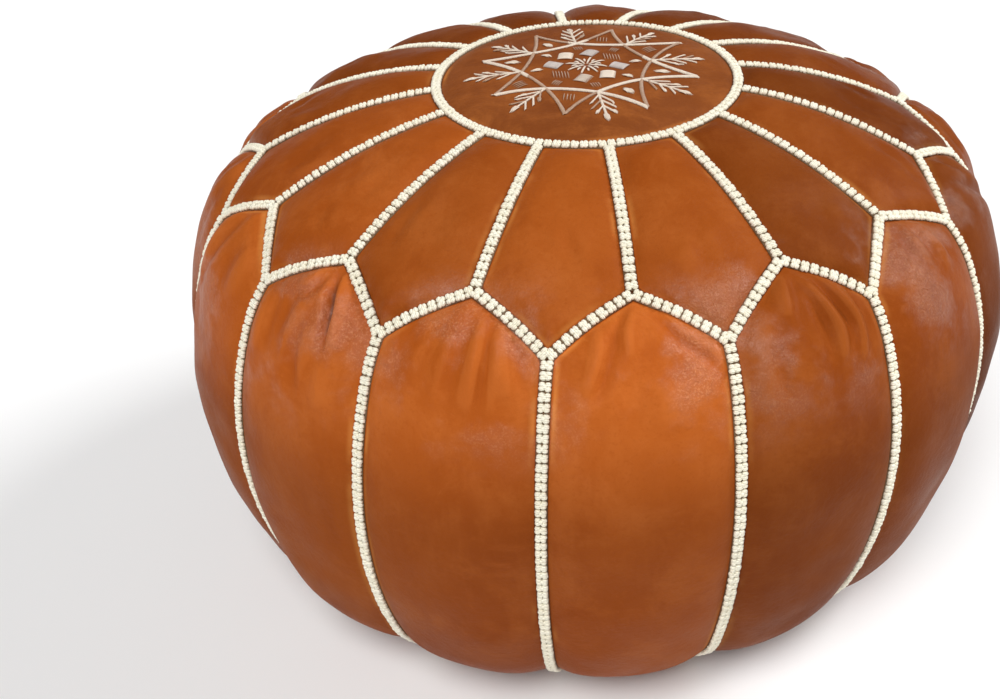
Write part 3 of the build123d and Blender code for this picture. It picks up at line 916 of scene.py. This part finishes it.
class Needlework:
    """Gathers stitches of one thread, then makes them one piece."""

    def __init__(self, name, node, material, seed):
        self.name, self.node, self.material = name, node, material
        self.rng = np.random.default_rng(seed)
        self.starts, self.ends, self.widths = [], [], []

    def stitch(self, start, end, width=0.62):
        self.starts.append(start)
        self.ends.append(end)
        self.widths.append(width)

    def satin(self, path, width, slant=0.9):
        """Stitches across a path of plan points in mm, close together and slanted."""
        path = np.asarray(path, float)
        steps = np.hypot(*np.diff(path, axis=0).T)
        at = np.concatenate([[0], np.cumsum(steps)])
        for where in np.arange(0, at[-1], SATIN_PITCH):
            x, y = (np.interp(where, at, path[:, i]) for i in (0, 1))
            ahead = min(where + 0.5, at[-1])
            behind = max(where - 0.5, 0)
            dx, dy = (
                np.interp(ahead, at, path[:, i]) - np.interp(behind, at, path[:, i])
                for i in (0, 1)
            )
            run = np.hypot(dx, dy) or 1.0
            dx, dy = dx / run, dy / run
            half = width / 2 * (1 + self.rng.normal(0, 0.08))
            skew = slant * width / 2
            jitter = self.rng.normal(0, 0.06, 2)
            a = (x - dy * half - dx * skew + jitter[0], y + dx * half - dy * skew + jitter[1])
            b = (x + dy * half + dx * skew, y - dx * half + dy * skew)
            self.stitch(a, b, SATIN_THREAD)

    def leaf(self, root, tip, width):
        """A lozenge of satin stitches along the line from root to tip."""
        root, tip = np.array(root, float), np.array(tip, float)
        run = np.hypot(*(tip - root))
        ahead = (tip - root) / run
        side = np.array([-ahead[1], ahead[0]])
        count = max(2, int(width / LEAF_PITCH))
        for i in range(count):
            across = ((i + 0.5) / count - 0.5) * 2
            reach = (1 - abs(across)) ** 0.7
            middle = root + (tip - root) * (0.5 + 0.06 * across) + side * across * width / 2
            half = ahead * run / 2 * (0.35 + 0.65 * reach)
            shift = self.rng.normal(0, 0.12, 2)
            self.stitch(middle - half + shift, middle + half + shift, 0.6)

    def make(self):
        """One mesh of arched threads, lying on the medallion."""
        starts, ends = np.array(self.starts), np.array(self.ends)
        widths = np.array(self.widths)
        share = np.linspace(0, 1, 6)
        around = 6
        along = ends - starts
        run = np.hypot(along[:, 0], along[:, 1])
        ahead = along / run[:, None]
        side = np.stack([-ahead[:, 1], ahead[:, 0]], 1)
        lift = 0.25 + 0.5 * np.sin(pi * share) ** 0.6
        thick = 0.28 + 0.72 * np.sin(pi * share) ** 0.4
        verts = []
        for s in range(len(share)):
            middle = starts + along * share[s]
            for j in range(around):
                turn = tau * j / around
                out = side * (cos(turn) * widths * thick[s] / 2)[:, None]
                up = lift[s] + sin(turn) * widths * thick[s] * 0.42
                plan = (middle + out) * MM
                verts.append(on_medallion(plan[:, 0], plan[:, 1], up * MM))
        verts = np.stack(verts, 1)
        per = verts.shape[1]
        quads = np.array(ring_faces(len(share), around))
        caps = [tuple(range(around)), tuple(per - around + j for j in range(around))[::-1]]
        ends_faces = np.array(caps)
        offsets = np.arange(len(starts)) * per
        all_faces = list((quads[None] + offsets[:, None, None]).reshape(-1, 4))
        all_faces += list((ends_faces[None] + offsets[:, None, None]).reshape(-1, around))
        tone = np.repeat(self.rng.uniform(0, 1, len(starts)), per)
        strand = np.tile(np.repeat(share, around), len(starts)) * np.repeat(run, per)
        obj = new_object(
            self.name, verts.reshape(-1, 3), all_faces, {"tone": tone, "strand": strand}
        )
        finish_piece(obj, self.material, [self.node])


def polar(radius, angle):
    """A plan point in mm at that radius and angle from the star's first point."""
    return np.array([radius * cos(angle + STAR_TURN), radius * sin(angle + STAR_TURN)])


def star_point(k):
    """The plan place of one of the star's points."""
    k = k % 8
    return polar(STAR_RADIUS + POINT_REACH[k], k * pi / 4 + radians(POINT_TURN[k]))


def bowed_side(k):
    """One side of the star, from point k to the next but one."""
    a, b = star_point(k), star_point(k + 2)
    waist = polar(STAR_RADIUS * STAR_WAIST, (k + 1) * pi / 4)
    bow = waist - (a + b) / 2
    share = np.linspace(0, 1, 60)[:, None]
    return a + (b - a) * share + bow * (4 * share * (1 - share))


def make_embroidery():
    star = {
        "cream": Needlework("embroidered_star_cream", "embroidered_star", CREAM, 41),
        "tan": Needlework("embroidered_star_tan", "embroidered_star", GOLD, 42),
    }
    frond_cream = Needlework("embroidered_fronds_cream", "embroidered_fronds", CREAM, 43)
    frond_tan = Needlework("embroidered_fronds_tan", "embroidered_fronds", GOLD, 44)
    leaves = Needlework("embroidered_leaves", "embroidered_star", CREAM, 45)
    diamonds = {
        "cream": Needlework("embroidered_lozenges_cream", "embroidered_lozenges", CREAM, 46),
        "grey": Needlework("embroidered_lozenges_grey", "embroidered_lozenges", GREY, 47),
    }
    combs = Needlework("embroidered_combs", "embroidered_combs", GOLD, 49)
    burst = Needlework("embroidered_sunburst", "embroidered_sunburst", CREAM, 48)
    for k in range(8):
        make_star_side(star, k)
        make_frond(frond_cream, frond_tan, k)
        make_point_marks(leaves, star["tan"], k)
        if k in COMB_POINTS:
            make_comb(combs, k)
        else:
            make_lozenge(diamonds, k)
    make_burst(burst)
    for work in (*star.values(), frond_cream, frond_tan, leaves, *diamonds.values(), combs, burst):
        work.make()


def make_star_side(star, k):
    """Cream thread is thick and tan thread thin, and they change over where two sides cross."""
    side = bowed_side(k)
    first, last, change = STAR_THREADS[k]
    cut = int(change * len(side))
    width = {"cream": 3.5, "tan": 2.4}
    star[first].satin(side[: cut + 1], width[first])
    star[last].satin(side[cut:], width[last])


def make_frond(cream, tan, k):
    """A stem outward from a crossing, with slanting twigs and a leaf at its tip."""
    axis = pi / 8 + k * pi / 4
    rng = np.random.default_rng(500 + k)
    reach = 78 + rng.normal(0, 2)
    cream.satin([polar(42, axis), polar(reach - 7, axis)], 1.5, 1.4)
    cream.leaf(polar(reach - 11, axis), polar(reach, axis), 3.4)
    for level, (radius, size) in enumerate(((47, 12.5), (54.5, 12), (62, 10))):
        for side in (-1, 1):
            root = polar(radius, axis)
            slant = axis + side * radians(36 + rng.normal(0, 3))
            tip = root + polar(size + rng.normal(0, 0.8), slant)
            work = tan if (level + side + k) % 5 == 0 else cream
            work.satin([root, tip], 1.2, 1.5)
            if (level + k) % 3 == 1:
                work.leaf(root + (tip - root) * 0.5, tip + polar(1.5, slant), 2.4)
            if level == 0 and (k + side) % 3 == 0:
                hook = tip + polar(3.4, axis + side * radians(6))
                work.satin([tip, hook], 1.0, 1.2)


def make_point_marks(cream, tan, k):
    """A leaf or hatch marks in each of the star's points, and by each crossing nearer the middle."""
    for axis, near, far, lateral in ((k * pi / 4, 43, 54, 2.3), ((k + 0.5) * pi / 4, 27, 36, 1.7)):
        if k in LEAFY_POINTS:
            cream.leaf(polar(near, axis), polar(far, axis), 2 * lateral)
            continue
        aside = polar(1, axis + pi / 2)
        for i in range(4):
            shift = aside * (i - 1.5) * 0.9 * lateral
            tan.stitch(polar(near + 1, axis) + shift, polar(far - 1, axis + 0.03) + shift, 0.6)


def lozenge_place(k):
    return polar(20.8, k * pi / 4 + radians(8))


def make_lozenge(works, k):
    """A filled square of satin stitches, set askew. One in eight is left open, as hatching."""
    middle = lozenge_place(k)
    slant = radians(LOZENGE_SLANTS[(k - 1) % 4])
    along = np.array([cos(slant), sin(slant)])
    across = np.array([-along[1], along[0]])
    open_work = k == 5
    count = 8 if open_work else 15
    work = works["cream" if k in (2, 5, 6) else "grey"]
    for i in range(count):
        at = middle + across * ((i + 0.5) / count - 0.5) * 10.5
        work.stitch(at - along * 4.8, at + along * 4.8, 0.75 if open_work else 0.95)


def make_comb(work, k):
    """Thin parallel stitches."""
    middle = lozenge_place(k)
    across = np.array([cos(radians(-20)), sin(radians(-20))])
    for i in range(6):
        at = middle + across * (i - 2.5) * 1.9
        work.stitch(at - (0, 5.4), at + (0.3, 5.4), 0.62)


def make_burst(work):
    """Rays from the middle, long and short by turns."""
    for i in range(16):
        turn = i * tau / 16
        near, far = (1.6, 13.5) if i % 2 == 0 else (5.5, 9.5)
        for shift in (-0.3, 0.3):
            nudge = polar(shift, turn + pi / 2)
            work.stitch(polar(near, turn) + nudge, polar(far, turn) + nudge, 0.8)


# ---------------------------------------------------------------- leather, stuffing and hardware

def make_medallion():
    """The embroidered disc, domed by the stuffing."""
    rings, around = 50, 256
    angle = np.arange(around) * tau / around
    radius = (np.linspace(0, 1, rings + 1)[1:, None] ** 0.8) * ring_radius(angle)
    x, y = radius * np.cos(angle), radius * np.sin(angle)
    points = on_medallion(x, y).reshape(-1, 3)
    top = on_medallion(np.zeros(1), np.zeros(1))
    faces = fan(0, 1, around) + ring_faces(rings, around, 1)
    seam = np.concatenate([[RING_RADIUS], (ring_radius(angle) - radius).ravel()])
    verts = np.concatenate([top, points])
    marks = {"seam": seam / MM, "fold": 0 * seam, "tone_and_shade": 0 * seam + 1}
    obj = new_object("top_medallion", verts, faces, marks)
    thicken(obj)
    finish_piece(obj, BROWN, ["top_medallion"])


def make_panels():
    for i in range(1, PANELS + 1):
        node = f"top_petal_{i:02d}"
        panel_object(f"petal_{i:02d}", petal_grid(i), TAN, node, PETAL_TONES_AND_SHADES[i - 1])
        node = f"side_panel_{i:02d}"
        panel_object(f"panel_{i:02d}", side_panel_grid(i), TAN, node, SIDE_TONES_AND_SHADES[i - 1])


def stuffed_form(name, inset, bottom, lump, material, nodes):
    """A closed soft body that follows the cover's inside."""
    rows, around = 90, 160
    length = np.linspace(0.002, BASE_LENGTH, rows)[:, None]
    angle = np.arange(around) * tau / around
    length, angle = np.broadcast_arrays(length, angle)
    plain = skin(angle, length, 0 * length)
    out = VALLEY - LEATHER - inset - lump * (1 + lumps(plain, 0.06, 77))
    points = skin(angle, length, out)
    points[..., 2] = np.maximum(points[..., 2], bottom)
    verts = points.reshape(-1, 3)
    top = points[0].mean(0)
    low = points[-1].mean(0)
    verts = np.concatenate([verts, [top, low]])
    count = rows * around
    faces = fan(count, 0, around) + ring_faces(rows, around)
    faces += turned_over(fan(count + 1, count - around, around))
    obj = new_object(name, verts, faces)
    finish_piece(obj, material, nodes)


def dress_cad_nodes():
    """Materials for the CAD nodes that show as they are."""
    for name, obj in frame["nodes"].items():
        if obj.hide_render:
            continue
        material = BASE_TAN
        if name.startswith("zip_tape"):
            material = TAPE
        elif name == "zip_seam_stitches":
            material = SEWING
        elif name.startswith("zip_"):
            material = BRASS
        obj.data.materials.clear()
        obj.data.materials.append(material)


# ---------------------------------------------------------------- the studio

CAMERA_TURN = radians(-4.1)
CAMERA_DISTANCE = 3.16 * EQUATOR_RADIUS
CAMERA_RISE = radians(31.37)
CAMERA_ROLL = -0.075
LENS = 43.45
SHIFT = (-0.0921, -0.0605)


def make_camera():
    data = bpy.data.cameras.new("camera")
    data.lens = LENS
    data.sensor_width = 36.0
    data.shift_x, data.shift_y = SHIFT
    camera = bpy.data.objects.new("camera", data)
    bpy.context.scene.collection.objects.link(camera)
    right = Vector((1, 0, 0))
    back = Vector((0, -cos(CAMERA_RISE), sin(CAMERA_RISE)))
    up = Vector((0, sin(CAMERA_RISE), cos(CAMERA_RISE)))
    rolled = right * cos(CAMERA_ROLL) + up * sin(CAMERA_ROLL)
    rolled_up = up * cos(CAMERA_ROLL) - right * sin(CAMERA_ROLL)
    aim = Vector((LEAN[0] * EQUATOR_HEIGHT, LEAN[1] * EQUATOR_HEIGHT, EQUATOR_HEIGHT))
    turn = Matrix.Rotation(CAMERA_TURN, 3, "Z")
    axes = Matrix((turn @ rolled, turn @ rolled_up, turn @ back)).transposed()
    place = aim + turn @ back * CAMERA_DISTANCE
    camera.matrix_world = Matrix.Translation(place) @ axes.to_4x4()
    bpy.context.scene.camera = camera


def soft_light(name, azimuth, rise, spread, strength):
    """A big far softbox, as an even light from one direction."""
    data = bpy.data.lights.new(name, "SUN")
    data.angle = radians(spread)
    data.energy = strength
    light = bpy.data.objects.new(name, data)
    azimuth, rise = radians(azimuth), radians(rise)
    towards = Vector((cos(azimuth) * cos(rise), sin(azimuth) * cos(rise), sin(rise)))
    light.location = 3 * towards
    light.rotation_euler = (-towards).to_track_quat("-Z", "Y").to_euler()
    bpy.context.scene.collection.objects.link(light)


def make_studio():
    size = 60.0
    floor = new_object(
        "floor",
        [(-size, -size, 0), (size, -size, 0), (size, size, 0), (-size, size, 0)],
        [(0, 1, 2, 3)],
    )
    material, _, bsdf = shader("pale_floor", 0.9)
    bsdf.inputs["Base Color"].default_value = (0.9, 0.9, 0.9, 1)
    floor.data.materials.append(material)
    world = bpy.data.worlds.new("studio")
    world.use_nodes = True
    world.node_tree.nodes["Background"].inputs["Color"].default_value = (1, 1, 1, 1)
    world.node_tree.nodes["Background"].inputs["Strength"].default_value = 0.16
    bpy.context.scene.world = world
    soft_light("key", azimuth=-106, rise=57, spread=34, strength=2.6)
    soft_light("back", azimuth=9, rise=37, spread=24, strength=1.85)
    bpy.context.scene.view_settings.view_transform = "Standard"


make_panels()
make_medallion()
make_braids()
make_embroidery()
stuffed_form("stuffing_bag", 1.0 * MM, 12.5 * MM, 0.6 * MM, COTTON,
             ["stuffing_bag"])
stuffed_form("stuffing", 3.0 * MM, 14.0 * MM, 1.5 * MM, FIBRE, ["stuffing"])
dress_cad_nodes()
make_camera()
make_studio()
